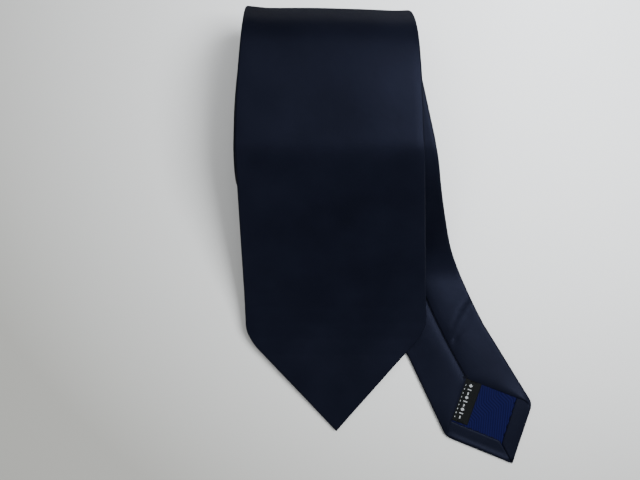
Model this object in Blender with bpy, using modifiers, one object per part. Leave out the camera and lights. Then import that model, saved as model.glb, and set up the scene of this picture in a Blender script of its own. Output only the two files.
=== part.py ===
"""A necktie, folded back to back at the neck, rolled up from that fold and laid on a table.

The whole tie is one long ribbon with three coordinates: s runs along it from the point of the
wide blade to the point of the tail, v runs across it (+v is the right side, seen from above) and
h is the height over its middle layer (+h is its front side). Every piece of the tie is lofted in
those coordinates, so the pieces stay in line however the tie is rolled.
"""

import math

import bmesh
import bpy
import numpy as np
from mathutils import Matrix, Vector

# The tie, laid flat.
TIE_LENGTH = 1.440
BLADE_WIDTH = 0.080
NECK_WIDTH = 0.036
TAIL_WIDTH = 0.0412  # at the tail's two corners
TAIL_NARROW_WIDTH = 0.0368  # where the tail starts to flare towards them
TAIL_FLARE = 0.062  # from the tail's point
BLADE_TO_NECK = 0.700  # from the blade's point to where the neck's even width starts
BLADE_POINT = 0.0445  # from the blade's point back to its two corners
BLADE_POINT_SKEW = -0.0016  # the left corner lies this much nearer the point, the right one further
TAIL_POINT = 0.0222
TAIL_POINT_SKEW = 0.0028  # the tail's left corner lies this much further back, its right one less
BLADE_OPENING = 0.038  # from the corners to where the back flaps meet
TAIL_OPENING = 0.0213
HEM_WIDTH = 0.0075

# The layers of cloth.
SHELL_THICKNESS = 0.00035
INTERLINING_THICKNESS = 0.0005
CLEARANCE = 0.0003  # between any two pieces that touch
FOLD_RADIUS = 0.0005  # of the shell's side folds
THREAD_WIDTH = 0.0004
BLUNT_POINT = 0.0016  # how far short of the sharp point the cloth ends

# Where the shell cloth is pieced.
BLADE_PIECE_LENGTH = 0.630  # from the blade's point
TAIL_PIECE_LENGTH = 0.500  # from the tail's point

# The roll and the two ends that leave it.
ROLL_HEIGHT = 0.040
CORE_RUN = 0.020  # the innermost flat run, up to the fold at the neck
BLADE_SLOPE = math.radians(26)
BLADE_LAID_SLOPE = math.radians(4.5)
BLADE_FOOT_RADIUS = 0.080
BLADE_LAID_LENGTH = 0.035  # the last straight stretch, before the blade's point
TAIL_SLOPE = math.radians(41)
TAIL_FOOT_RADIUS = 0.025
TAIL_BEND_LENGTH = 0.035  # on the table, where the tail turns to the right
TAIL_LAID_LENGTH = 0.0570  # the straight stretch after it, up to the tail's point
TAIL_HEADING = math.radians(29)
WOUND_STEP = math.radians(30)  # between the cross-sections of a wound layer
LOOSE_STEP = math.radians(14)  # and of a layer that leaves the roll
SECTION_SPACING = 0.008  # between the cross-sections of the descending stretches

# How far the centreline lies to the right of the roll's zero line.
BLADE_POINT_X = 0.0073
BLADE_ROLL_X = 0.0037
CORE_X = -0.0036
TAIL_ROLL_X = 0.0267
TAIL_SIDESTEP_START = 0.22  # sideways per forward, where the tail leaves the roll
TAIL_SIDESTEP_END = 0.40  # and where it reaches the table

# Where the two ends flex.
TAIL_FLEX_FROM_POINT = 0.0625

# Small pieces on the back.
TACK_LENGTH = 0.006
TACK_WIDTH = 0.0012
TACK_THICKNESS = 0.0005
TACK_FROM_OPENING = 0.0015
KEEPER_FROM_OPENING = 0.016
KEEPER_FROM_FLEX = 0.030  # at least this far before the blade reaches the roll
KEEPER_WIDTH = 0.012
KEEPER_LENGTH = 0.048
KEEPER_RISE = 0.0012
KEEPER_THICKNESS = 0.0005
KEEPER_TACK_LENGTH = 0.009
LABEL_WIDTH = 0.0075
LABEL_LENGTH = 0.0190
LABEL_THICKNESS = 0.0003
LABEL_FROM_VERTEX = 0.0020
LABEL_TACK_LENGTH = 0.0030
LABEL_TACK_WIDTH = 0.0006
LABEL_TACK_THICKNESS = 0.0003

NAVY = (0.010, 0.013, 0.035)
ROYAL_BLUE = (0.020, 0.045, 0.250)
BLACK = (0.010, 0.011, 0.012)
CREAM = (0.550, 0.520, 0.450)

# Worked out from the values above.
HALF_THICKNESS = SHELL_THICKNESS + CLEARANCE + INTERLINING_THICKNESS / 2
LAYER_PITCH = 2 * HALF_THICKNESS + CLEARANCE
PAIR_PITCH = 2 * LAYER_PITCH  # each turn of the roll holds a blade layer and a tail layer
SEAM_HALF_GAP = CLEARANCE + THREAD_WIDTH / 2
SEAM_ALLOWANCE = 2 * CLEARANCE + THREAD_WIDTH  # room for a thread between two edges
ROLL_MIDDLE_Z = ROLL_HEIGHT / 2
OUTER_RADIUS = ROLL_HEIGHT / 2 - HALF_THICKNESS
TURNS = int((OUTER_RADIUS - LAYER_PITCH / 2) / PAIR_PITCH)
FRONT_CENTRE_Z = ROLL_MIDDLE_Z - PAIR_PITCH / 2
BLADE_LEAVING_RADIUS = OUTER_RADIUS + PAIR_PITCH / 2
TAIL_LEAVING_RADIUS = BLADE_LEAVING_RADIUS - LAYER_PITCH


# ---------------------------------------------------------------- side view of the roll
# Its points are (y, z, normal y, normal z), with y = 0 at the front end of the roll's flat runs.


def bend(centre, radius, start, sweep, turn, step):
    """An arc; its angles count from straight up, towards +y where turn is 1."""
    count = max(1, math.ceil(sweep / step - 1e-6))
    points = []
    for i in range(count + 1):
        at = start + turn * sweep * i / count
        normal = (math.sin(at), math.cos(at))
        points.append((centre[0] + radius * normal[0], centre[1] + radius * normal[1], *normal))
    return points


def wound_half(inset, run):
    """One half of the tie from the top of the roll's front inwards, wound on flat runs."""
    points = [(0, ROLL_MIDDLE_Z + OUTER_RADIUS - inset, 0, 1)]
    for turn in range(TURNS):
        radius = OUTER_RADIUS - inset - turn * PAIR_PITCH
        points += bend((run, ROLL_MIDDLE_Z), radius, 0, math.pi, 1, WOUND_STEP)
        points += bend((0, FRONT_CENTRE_Z), radius - PAIR_PITCH / 2, math.pi, math.pi, 1, WOUND_STEP)
    return points


def neck_fold():
    """The fold in the middle of the roll, where the blade half becomes the tail half."""
    height = ROLL_MIDDLE_Z + OUTER_RADIUS - TURNS * PAIR_PITCH - LAYER_PITCH / 2
    return bend((CORE_RUN, height), LAYER_PITCH / 2, 0, math.pi, 1, WOUND_STEP)


def descent(leaving_radius, slope, foot_radius, laid_slope, laid_length):
    """An end of the tie, from the top of the roll's front down to its point."""
    over = bend((0, FRONT_CENTRE_Z), leaving_radius, 0, slope, -1, LOOSE_STEP)
    drop = over[-1][1] - HALF_THICKNESS
    drop -= foot_radius * (math.cos(laid_slope) - math.cos(slope))
    drop -= laid_length * math.sin(laid_slope)
    straight = drop / math.sin(slope)
    y, z, normal_y, normal_z = over[-1]
    count = math.ceil(straight / SECTION_SPACING)
    step = straight / count
    ramp = []
    for _ in range(count - 1):
        y -= step * math.cos(slope)
        z -= step * math.sin(slope)
        ramp.append((y, z, normal_y, normal_z))
    y -= step * math.cos(slope)
    z -= step * math.sin(slope)
    centre = (y - foot_radius * math.sin(slope), z + foot_radius * math.cos(slope))
    foot = bend(centre, -foot_radius, -slope, slope - laid_slope, 1, LOOSE_STEP / 2)
    y, z, normal_y, normal_z = foot[-1]
    y -= laid_length * math.cos(laid_slope)
    z -= laid_length * math.sin(laid_slope)
    return over + ramp + foot + [(y, z, normal_y, normal_z)]


def path_length(points):
    return sum(math.dist(a[:2], b[:2]) for a, b in zip(points, points[1:]))


def turned_over(points):
    """The same points in reverse, facing the other way."""
    return [(y, z, -normal_y, -normal_z) for y, z, normal_y, normal_z in reversed(points)]


def side_view():
    """The whole tie from the blade's point on, and which of its points leave the roll or fold."""
    tail_laid = TAIL_BEND_LENGTH + TAIL_LAID_LENGTH
    blade = descent(BLADE_LEAVING_RADIUS, BLADE_SLOPE, BLADE_FOOT_RADIUS, BLADE_LAID_SLOPE, BLADE_LAID_LENGTH)
    tail = descent(TAIL_LEAVING_RADIUS, TAIL_SLOPE, TAIL_FOOT_RADIUS, 0, tail_laid)
    fold = neck_fold()
    wound = path_length(wound_half(0, 0)) + path_length(wound_half(LAYER_PITCH, 0))
    fixed = wound + path_length(blade) + path_length(tail) + path_length(fold) + 2 * CORE_RUN
    run = (TIE_LENGTH - fixed) / (4 * TURNS)
    outer = wound_half(0, run)
    inner = wound_half(LAYER_PITCH, run)
    points = blade[:0:-1] + outer + fold + turned_over(inner) + turned_over(tail[::-1])[1:]
    blade_front = len(blade) - 1
    neck = blade_front + len(outer) + len(fold) // 2
    tail_front = blade_front + len(outer) + len(fold) + len(inner) - 1
    return points, blade_front, neck, tail_front, run


# ---------------------------------------------------------------- the ribbon


class Ribbon:
    """Turns the tie's own coordinates (s, v, h) into a point in space."""

    def __init__(self):
        points, blade_front, neck, tail_front, run = side_view()
        self.view = np.array(points)
        steps = np.hypot(*np.diff(self.view[:, :2], axis=0).T)
        self.along = np.concatenate(([0], np.cumsum(steps)))
        self.blade_leaves = self.along[blade_front]
        self.tail_leaves = self.along[tail_front]
        self.first_turn = math.tau * OUTER_RADIUS + 2 * run
        self.foot_reach = -self.view[-2, 0]
        nodes = [(u, self.wound_x(u), 0) for u in self.along[:tail_front]]
        for u, (y, _, _, _) in zip(self.along[tail_front:-1], self.view[tail_front:-1]):
            nodes.append((u, self.descending_x(-y), self.section_turn(-y)))
        nodes += self.laid_nodes(nodes[-1])
        self.nodes = np.array([(*node, 1 / math.cos(slant)) for node, slant in zip(nodes, self.slants(nodes))])
        centre = np.array([self.on_side_view(u, x, 0) for u, x, _ in nodes])
        steps = np.linalg.norm(np.diff(centre, axis=0), axis=1)
        self.s = np.concatenate(([0], np.cumsum(steps)))
        self.length = float(self.s[-1])
        self.neck_fold = float(self.s[neck])
        self.blade_flex = float(self.s[blade_front])

    def wound_x(self, u):
        """The centreline's place on the blade's descent and in the roll."""
        if u <= self.blade_leaves:
            share = min((self.blade_leaves - u) / (self.blade_leaves - BLADE_POINT), 1)
            return BLADE_ROLL_X + (BLADE_POINT_X - BLADE_ROLL_X) * share
        wound = min((u - self.blade_leaves) / self.first_turn, 1)
        eased = wound * wound * (3 - 2 * wound)
        unwound = min((self.tail_leaves - u) / self.first_turn, 1)
        return BLADE_ROLL_X + (CORE_X - BLADE_ROLL_X) * eased + (TAIL_ROLL_X - CORE_X) * (1 - unwound) ** 1.5

    def descending_x(self, reach):
        """The tail's place, where reach is how far it has come forward of the roll's front."""
        growth = (TAIL_SIDESTEP_END - TAIL_SIDESTEP_START) / self.foot_reach
        return TAIL_ROLL_X + TAIL_SIDESTEP_START * reach + growth * reach * reach / 2

    def section_turn(self, reach):
        """How far the tail's cross-section has turned to the right by there."""
        share = (reach - self.foot_reach) / (TAIL_BEND_LENGTH * math.cos(TAIL_HEADING))
        return TAIL_HEADING * min(max(share, 0), 1)

    @staticmethod
    def slants(nodes):
        """The angle at each node between its cross-section and one square to the centreline."""
        u, x, turn = np.array(nodes).T
        return np.arctan(np.gradient(x, u)) - turn

    def laid_nodes(self, foot):
        """The tail on the table: a bend to the right, then straight to its point."""
        foot_u, x, _ = foot
        heading = math.atan(TAIL_SIDESTEP_END)
        steps = 4
        length = TAIL_BEND_LENGTH / steps
        forward = 0
        nodes = []
        for i in range(steps):
            at = heading + (TAIL_HEADING - heading) * (i + 0.5) / steps
            x += length * math.sin(at)
            forward += length * math.cos(at)
            nodes.append((foot_u + forward, x, self.section_turn(self.foot_reach + forward)))
        x += TAIL_LAID_LENGTH * math.sin(TAIL_HEADING)
        forward += TAIL_LAID_LENGTH * math.cos(TAIL_HEADING)
        nodes.append((foot_u + forward, x, TAIL_HEADING))
        return nodes

    def on_side_view(self, u, x, h):
        y, z, normal_y, normal_z = (np.interp(u, self.along, column) for column in self.view.T)
        return (x, y + h * normal_y, z + h * normal_z)

    def point(self, s, v, h):
        u, x, turn, stretch = (np.interp(s, self.s, column) for column in self.nodes.T)
        v *= stretch
        return Vector(self.on_side_view(u - v * math.sin(turn), x + v * math.cos(turn), h))

    def frame(self, s, v, h):
        """A matrix at a point of the tie: its X runs along s, its Y across and its Z off the back."""
        step = 0.0005
        along = (self.point(s + step, v, h) - self.point(s - step, v, h)).normalized()
        back = (self.point(s, v, -HALF_THICKNESS) - self.point(s, v, HALF_THICKNESS)).normalized()
        across = back.cross(along).normalized()
        axes = Matrix((along, across, along.cross(across))).transposed()
        return Matrix.Translation(self.point(s, v, h)) @ axes.to_4x4()

    def stations(self, start, end, extra=()):
        """The s values between start and end where a piece needs a cross-section."""
        kept = [start]
        for s in sorted((*self.s, *extra)):
            if kept[-1] + 0.0001 < s < end - 0.0001:
                kept.append(float(s))
        return kept + [end]


TIE = Ribbon()
LENGTH = TIE.length
BLADE_FLEX = TIE.blade_flex
TAIL_FLEX = LENGTH - TAIL_FLEX_FROM_POINT


# ---------------------------------------------------------------- outlines across the ribbon


class End:
    """The pointed end of the tie: its outline, its hems and its opening at the back."""

    def __init__(self, point_s, inwards, half_width, corner, skew, opening):
        self.point_s = point_s
        self.inwards = inwards
        self.half_width = half_width
        self.corners = {-1: corner + skew, 1: corner - skew}
        self.vertex = corner + opening

    def at(self, distance):
        """The s that lies this far from the point."""
        return self.point_s + self.inwards * distance

    def edge(self, s, side):
        return abs(s - self.point_s) / self.corners[side] * self.half_width

    def hem_across(self, side):
        """The hem's width, measured straight across the tie."""
        return HEM_WIDTH / math.cos(math.atan(self.half_width / self.corners[side]))

    def hem_line(self, s, side):
        return self.edge(s, side) - self.hem_across(side)

    def flap_line(self, s, side):
        """The edge of the back flap, which runs from the corner to where the flaps meet."""
        corner = self.corners[side]
        return self.half_width * (self.vertex - abs(s - self.point_s)) / (self.vertex - corner)

    def open_half(self, s, side):
        """From the centreline to the first layer of shell cloth at the back."""
        return max(min(self.hem_line(s, side), self.flap_line(s, side)), SEAM_HALF_GAP)

    def hems_meet(self, side, gap=SEAM_HALF_GAP):
        """Distance from the point where the hem's inner edge comes this near to the centreline."""
        return (self.hem_across(side) + gap) / self.half_width * self.corners[side]

    def flap_meets_hem(self, side):
        corner = self.corners[side]
        slopes = self.half_width / corner + self.half_width / (self.vertex - corner)
        return corner + self.hem_across(side) / slopes

    def flaps_meet(self, gap=SEAM_HALF_GAP):
        """Distance from the point where both flaps have come this near to the centreline."""
        back = (self.vertex - max(self.corners.values())) * gap / self.half_width
        return self.vertex - back

    def breaks(self):
        """The s values where the outline or the opening changes direction."""
        found = [self.flaps_meet()]
        for side in (-1, 1):
            found += [self.hems_meet(side), self.corners[side], self.flap_meets_hem(side)]
        return [self.at(distance) for distance in found]


BLADE = End(0, 1, BLADE_WIDTH / 2, BLADE_POINT, BLADE_POINT_SKEW, BLADE_OPENING)
TAIL = End(LENGTH, -1, TAIL_WIDTH / 2, TAIL_POINT, TAIL_POINT_SKEW, TAIL_OPENING)
NECK_END = LENGTH / 2 + 0.05  # where the tail starts to widen
OUTLINE_BREAKS = (*BLADE.breaks(), BLADE_TO_NECK, NECK_END, LENGTH - TAIL_FLARE, *TAIL.breaks())


def edge(s, side):
    """From the centreline to the folded edge."""
    places = (BLADE_POINT, BLADE_TO_NECK, NECK_END, LENGTH - TAIL_FLARE, LENGTH - TAIL_POINT)
    widths = (BLADE_WIDTH, NECK_WIDTH, NECK_WIDTH, TAIL_NARROW_WIDTH, TAIL_WIDTH)
    full = np.interp(s, places, widths) / 2
    return float(min(full, BLADE.edge(s, side), TAIL.edge(s, side)))


def open_half(s, side):
    """From the centreline to the inner edge of the back flap, or of the hem beyond the corners."""
    nearer = BLADE if s < LENGTH / 2 else TAIL
    return nearer.open_half(s, side)


# ---------------------------------------------------------------- making pieces


def clear_scene():
    for obj in list(bpy.data.objects):
        bpy.data.objects.remove(obj, do_unlink=True)


def material(name, colour, roughness):
    """One finish for one piece."""
    made = bpy.data.materials.new(name)
    made.use_nodes = True
    shader = made.node_tree.nodes["Principled BSDF"]
    shader.inputs["Base Color"].default_value = (*colour, 1)
    shader.inputs["Roughness"].default_value = roughness
    shader.inputs["Metallic"].default_value = 0
    return made


def add_to_tie(obj, colour, roughness):
    obj.data.materials.append(material(obj.name, colour, roughness))
    for collection in list(obj.users_collection):
        collection.objects.unlink(obj)
    bpy.data.collections["necktie"].objects.link(obj)
    return obj


def loft(name, rings, colour, roughness):
    """A closed solid through like rings of (s, v, h) points."""
    bm = bmesh.new()
    loops = [[bm.verts.new(TIE.point(*place)) for place in ring] for ring in rings]
    for near, far in zip(loops, loops[1:]):
        for i in range(len(near)):
            after = (i + 1) % len(near)
            bm.faces.new((near[i], near[after], far[after], far[i]))
    bm.faces.new(loops[0])
    bm.faces.new(loops[-1])
    bmesh.ops.recalc_face_normals(bm, faces=bm.faces)
    mesh = bpy.data.meshes.new(name)
    bm.to_mesh(mesh)
    bm.free()
    obj = bpy.data.objects.new(name, mesh)
    bpy.data.collections["necktie"].objects.link(obj)
    return add_to_tie(obj, colour, roughness)


def shell_ring(s):
    """The folded shell cloth cut across: front, two side folds and two back flaps."""
    left = edge(s, -1)
    right = edge(s, 1)
    left_open = open_half(s, -1)
    right_open = open_half(s, 1)
    face = HALF_THICKNESS
    lining_side = HALF_THICKNESS - SHELL_THICKNESS
    outline = [
        (-left + FOLD_RADIUS, face),
        (right - FOLD_RADIUS, face),
        (right, face - FOLD_RADIUS),
        (right, FOLD_RADIUS - face),
        (right - FOLD_RADIUS, -face),
        (right_open, -face),
        (right_open, -lining_side),
        (right - FOLD_RADIUS, -lining_side),
        (right - FOLD_RADIUS, lining_side),
        (-left + FOLD_RADIUS, lining_side),
        (-left + FOLD_RADIUS, -lining_side),
        (-left_open, -lining_side),
        (-left_open, -face),
        (-left + FOLD_RADIUS, -face),
        (-left, FOLD_RADIUS - face),
        (-left, face - FOLD_RADIUS),
    ]
    return [(s, v, h) for v, h in outline]


def box_ring(s, left, right, low, high):
    return [(s, -left, low), (s, right, low), (s, right, high), (s, -left, high)]


def shell(name, start, end):
    """A stretch of the shell cloth."""
    stations = TIE.stations(start, end, OUTLINE_BREAKS)
    return loft(name, [shell_ring(s) for s in stations], NAVY, 0.45)


def interlining(name, start, end):
    """A stretch of the wool-blend layer inside the shell."""
    inset = FOLD_RADIUS + CLEARANCE
    half = INTERLINING_THICKNESS / 2
    stations = TIE.stations(start, end, OUTLINE_BREAKS)
    rings = [box_ring(s, edge(s, -1) - inset, edge(s, 1) - inset, -half, half) for s in stations]
    return loft(name, rings, CREAM, 0.95)


def slip_stitch(name, start, end):
    """The long thread that closes the centre seam, lying between the two flaps."""
    half = THREAD_WIDTH / 2
    top = -HALF_THICKNESS + SHELL_THICKNESS
    rings = [box_ring(s, half, half, -HALF_THICKNESS, top) for s in TIE.stations(start, end)]
    return loft(name, rings, NAVY, 0.6)


def piecing_seam(name, s):
    """The thread that joins two pieces of shell cloth end to end."""
    return loft(name, [shell_ring(s - THREAD_WIDTH / 2), shell_ring(s + THREAD_WIDTH / 2)], NAVY, 0.6)


def tipping(name, end):
    """The lining in the opening of one end, inside the flaps and hems."""
    start = max(end.hems_meet(side, SEAM_ALLOWANCE + THREAD_WIDTH / 2) for side in (-1, 1))
    stop = end.flaps_meet(SEAM_ALLOWANCE + THREAD_WIDTH / 2)
    rings = []
    for s in TIE.stations(*sorted((end.at(start), end.at(stop))), OUTLINE_BREAKS):
        left = end.open_half(s, -1) - SEAM_ALLOWANCE
        right = end.open_half(s, 1) - SEAM_ALLOWANCE
        rings.append(box_ring(s, left, right, -HALF_THICKNESS, SHELL_THICKNESS - HALF_THICKNESS))
    return loft(name, rings, ROYAL_BLUE, 0.4)


def thread_ring(outer, inner):
    """A thread cut across, from its outer (s, v) place to its inner one."""
    low = -HALF_THICKNESS
    high = SHELL_THICKNESS - HALF_THICKNESS
    return [(*outer, low), (*outer, high), (*inner, high), (*inner, low)]


def tipping_seam(name, end):
    """The thread that joins the lining to the hems, from corner to corner by way of the point."""
    turn = max(end.hems_meet(side, CLEARANCE) for side in (-1, 1))
    slope = end.half_width / max(end.corners.values())
    legs = {}
    for side in (-1, 1):
        stop = end.corners[side] - SEAM_ALLOWANCE
        legs[side] = [thread_ring((end.at(turn), 0), (end.at(turn + THREAD_WIDTH / slope), 0))]
        places = TIE.stations(*sorted((end.at(turn + SEAM_ALLOWANCE), end.at(stop))))
        for s in places[::end.inwards]:
            outer = end.hem_line(s, side) - CLEARANCE
            legs[side].append(thread_ring((s, side * outer), (s, side * (outer - THREAD_WIDTH))))
    return loft(name, legs[-1][:0:-1] + legs[1], NAVY, 0.6)


def rounded_block(name, size, place, colour, roughness):
    """A small flat piece with softened edges, placed by a matrix."""
    bpy.ops.mesh.primitive_cube_add(size=1)
    obj = bpy.context.object
    obj.name = name
    obj.data.transform(Matrix.Diagonal((*size, 1)))
    obj.data.transform(place)
    bevel = obj.modifiers.new("soft edges", "BEVEL")
    bevel.width = min(size) / 4
    bevel.segments = 1
    return add_to_tie(obj, colour, roughness)


def on_back(s, v, thickness, lift=CLEARANCE):
    """Where a small piece lies on the back of the tie."""
    return TIE.frame(s, v, -HALF_THICKNESS - lift - thickness / 2)


def bar_tack(name, s):
    size = (TACK_WIDTH, TACK_LENGTH, TACK_THICKNESS)
    return rounded_block(name, size, on_back(s, 0, TACK_THICKNESS), NAVY, 0.6)


def keeper_loop(name, s):
    """A band across the blade's back that the tail slips through; its ends lie on the flaps."""
    half = KEEPER_LENGTH / 2
    flat_end = KEEPER_LENGTH / 8
    base = -HALF_THICKNESS - CLEARANCE
    outline = [(-half, 0), (-half + flat_end, 0), (-half + 2 * flat_end, KEEPER_RISE)]
    outline += [(-v, rise) for v, rise in reversed(outline)]
    rings = []
    for v, rise in outline:
        top = base - rise
        low = top - KEEPER_THICKNESS
        near = s - KEEPER_WIDTH / 2
        far = s + KEEPER_WIDTH / 2
        rings.append([(near, v, top), (far, v, top), (far, v, low), (near, v, low)])
    return loft(name, rings, NAVY, 0.45)


def keeper_tack(name, s, side):
    """Stitches that hold one end of the keeper loop."""
    v = side * (KEEPER_LENGTH / 2 - KEEPER_LENGTH / 16)
    lift = 2 * CLEARANCE + KEEPER_THICKNESS
    size = (KEEPER_TACK_LENGTH, TACK_WIDTH, TACK_THICKNESS)
    return rounded_block(name, size, on_back(s, v, TACK_THICKNESS, lift), NAVY, 0.6)


def label_place():
    """The tail label lies on the tipping, along the edge of the left flap."""
    corner = TAIL.corners[-1]
    flap_angle = math.atan2(TAIL.half_width, TAIL.vertex - corner)
    along = LABEL_LENGTH / 2 + LABEL_FROM_VERTEX
    across = LABEL_WIDTH / 2 + CLEARANCE
    towards_point = along * math.cos(flap_angle) + across * math.sin(flap_angle)
    to_left = along * math.sin(flap_angle) - across * math.cos(flap_angle)
    place = on_back(TAIL.at(TAIL.vertex - towards_point), -to_left, LABEL_THICKNESS)
    return place @ Matrix.Rotation(-flap_angle, 4, "Z")


def tail_label(name):
    size = (LABEL_LENGTH, LABEL_WIDTH, LABEL_THICKNESS)
    return rounded_block(name, size, label_place(), BLACK, 0.7)


def label_tack(name, end):
    """Stitches that hold one end of the label."""
    lift = CLEARANCE + (LABEL_THICKNESS + LABEL_TACK_THICKNESS) / 2
    offset = Matrix.Translation((end * (LABEL_LENGTH / 2 - LABEL_TACK_WIDTH), 0, lift))
    size = (LABEL_TACK_WIDTH, LABEL_TACK_LENGTH, LABEL_TACK_THICKNESS)
    return rounded_block(name, size, label_place() @ offset, BLACK, 0.7)


# ---------------------------------------------------------------- the tie's pieces by body


def blade_end_pieces():
    """The blade from its point to the top of the roll: it lifts off the table."""
    flex = BLADE_FLEX - CLEARANCE / 2
    seam_end = BLADE.flaps_meet()
    keeper = min(seam_end + KEEPER_FROM_OPENING, flex - KEEPER_FROM_FLEX)
    return [
        shell("blade_shell_end", BLUNT_POINT, flex),
        interlining("blade_interlining_end", 2 * BLUNT_POINT, flex),
        tipping("blade_tipping", BLADE),
        tipping_seam("blade_tipping_seam", BLADE),
        slip_stitch("blade_slip_stitch_end", seam_end, flex),
        bar_tack("blade_bar_tack", seam_end + TACK_FROM_OPENING),
        keeper_loop("keeper_loop", keeper),
        keeper_tack("keeper_tack_left", keeper, -1),
        keeper_tack("keeper_tack_right", keeper, 1),
    ]


def tail_end_pieces():
    """The tail from where it flexes on the table to its point."""
    flex = TAIL_FLEX + CLEARANCE / 2
    seam_end = TAIL.at(TAIL.flaps_meet())
    return [
        shell("tail_shell_end", flex, LENGTH - BLUNT_POINT),
        interlining("tail_interlining_end", flex, LENGTH - 2 * BLUNT_POINT),
        tipping("tail_tipping", TAIL),
        tipping_seam("tail_tipping_seam", TAIL),
        slip_stitch("tail_slip_stitch_end", flex, seam_end),
        bar_tack("tail_bar_tack", seam_end - TACK_FROM_OPENING),
        tail_label("tail_label"),
        label_tack("label_tack_upper", -1),
        label_tack("label_tack_lower", 1),
    ]


def rolled_pieces():
    """Everything between the two loose ends."""
    start = BLADE_FLEX + CLEARANCE / 2
    end = TAIL_FLEX - CLEARANCE / 2
    blade_join = BLADE_PIECE_LENGTH
    tail_join = LENGTH - TAIL_PIECE_LENGTH
    fold = TIE.neck_fold
    return [
        shell("blade_shell_rolled", start, blade_join - SEAM_HALF_GAP),
        shell("neck_shell", blade_join + SEAM_HALF_GAP, tail_join - SEAM_HALF_GAP),
        shell("tail_shell_rolled", tail_join + SEAM_HALF_GAP, end),
        piecing_seam("blade_piecing_seam", blade_join),
        piecing_seam("tail_piecing_seam", tail_join),
        interlining("blade_interlining_rolled", start, fold - CLEARANCE / 2),
        interlining("tail_interlining_rolled", fold + CLEARANCE / 2, end),
        slip_stitch("blade_slip_stitch_rolled", start, fold - LAYER_PITCH),
        slip_stitch("tail_slip_stitch_rolled", fold + LAYER_PITCH, end),
    ]


def empty(name, place, parent=None):
    """A guide that pieces hang on; it has no shape."""
    made = bpy.data.objects.new(name, None)
    made.empty_display_size = 0.02
    made.location = place
    bpy.data.collections["necktie"].objects.link(made)
    if parent:
        made.parent = parent
    return made


def hang(pieces, guide, place):
    """Parents the pieces to a guide at this place without moving them."""
    for piece in pieces:
        piece.parent = guide
        piece.matrix_parent_inverse = Matrix.Translation(-place)


def bounds(pieces):
    corners = np.array([piece.matrix_world @ vertex.co for piece in pieces for vertex in piece.data.vertices])
    return corners.min(axis=0), corners.max(axis=0)


def main():
    clear_scene()
    collection = bpy.data.collections.new("necktie")
    bpy.context.scene.collection.children.link(collection)
    blade_end = blade_end_pieces()
    tail_end = tail_end_pieces()
    rolled = rolled_pieces()
    low, high = bounds(blade_end + tail_end + rolled)
    middle = (low + high) / 2
    origin = empty("tie_origin", (-middle[0], -middle[1], -low[2]))
    blade_axis = TIE.point(BLADE_FLEX, 0, HALF_THICKNESS)
    tail_axis = TIE.point(TAIL_FLEX, 0, -HALF_THICKNESS)
    hang(rolled, origin, Vector())
    hang(blade_end, empty("blade_lift_axis", blade_axis, origin), blade_axis)
    hang(tail_end, empty("tail_lift_axis", tail_axis, origin), tail_axis)


main()
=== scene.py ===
import math

import bpy
import numpy as np
from bpy.props import FloatProperty, FloatVectorProperty, PointerProperty
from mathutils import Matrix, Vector


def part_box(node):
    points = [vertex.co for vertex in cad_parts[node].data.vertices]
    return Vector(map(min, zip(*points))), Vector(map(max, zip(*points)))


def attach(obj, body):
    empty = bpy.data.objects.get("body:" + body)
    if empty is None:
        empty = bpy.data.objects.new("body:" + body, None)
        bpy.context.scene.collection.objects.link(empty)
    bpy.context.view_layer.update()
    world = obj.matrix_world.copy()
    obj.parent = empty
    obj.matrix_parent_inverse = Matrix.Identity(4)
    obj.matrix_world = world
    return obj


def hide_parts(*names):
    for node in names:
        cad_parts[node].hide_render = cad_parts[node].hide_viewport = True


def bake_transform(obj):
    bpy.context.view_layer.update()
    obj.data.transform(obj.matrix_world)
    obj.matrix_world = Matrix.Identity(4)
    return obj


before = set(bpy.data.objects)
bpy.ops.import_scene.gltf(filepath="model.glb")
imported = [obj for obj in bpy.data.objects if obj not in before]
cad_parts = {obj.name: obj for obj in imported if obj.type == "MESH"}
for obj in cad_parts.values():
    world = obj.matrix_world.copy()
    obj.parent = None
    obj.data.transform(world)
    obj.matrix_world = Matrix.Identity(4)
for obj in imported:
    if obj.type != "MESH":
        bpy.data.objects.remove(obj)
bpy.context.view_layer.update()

bl_info = {
    "name": "Rolled Necktie",
    "version": (1, 0, 0),
    "blender": (4, 5, 0),
    "location": "View3D > Sidebar > Necktie",
    "description": "Builds a satin necktie that is folded in half, rolled and laid on a table",
    "category": "Add Mesh",
}

# ------------------------------------------------------------------ the tie's own measures
# The tie is one long ribbon. s runs along it from the blade's point to the tail's point, v runs
# across it (+v to the right, seen from above) and h is the height over its middle layer, with
# +h on the front side. The roll is wound from flat runs and half-circles, as the frame is.

BLADE_WIDTH = 0.080
NECK_WIDTH = 0.036
TAIL_WIDTH = 0.0412
TAIL_NARROW_WIDTH = 0.0368
TAIL_FLARE = 0.062
BLADE_TO_NECK = 0.700
BLADE_POINT = 0.0445
BLADE_POINT_SKEW = -0.0016
TAIL_POINT = 0.0222
TAIL_POINT_SKEW = 0.0028
BLADE_OPENING = 0.038
TAIL_OPENING = 0.0213
HEM_WIDTH = 0.0075
BLADE_PIECE_LENGTH = 0.630
TAIL_PIECE_LENGTH = 0.500

HALF_THICKNESS = 0.0009
LAYER_PITCH = 0.0021
PAIR_PITCH = 2 * LAYER_PITCH
TURNS = 4
CORE_RUN = 0.020

BLADE_SLOPE = math.radians(26)
BLADE_LAID_SLOPE = math.radians(4.5)
BLADE_FOOT_RADIUS = 0.080
BLADE_LAID_LENGTH = 0.035
TAIL_SLOPE = math.radians(41)
TAIL_FOOT_RADIUS = 0.025
TAIL_BEND_LENGTH = 0.035
TAIL_LAID_LENGTH = 0.0570
TAIL_HEADING = math.radians(28.4)
ARC_STEP = math.radians(6)
RUN_STEP = 0.003

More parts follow.
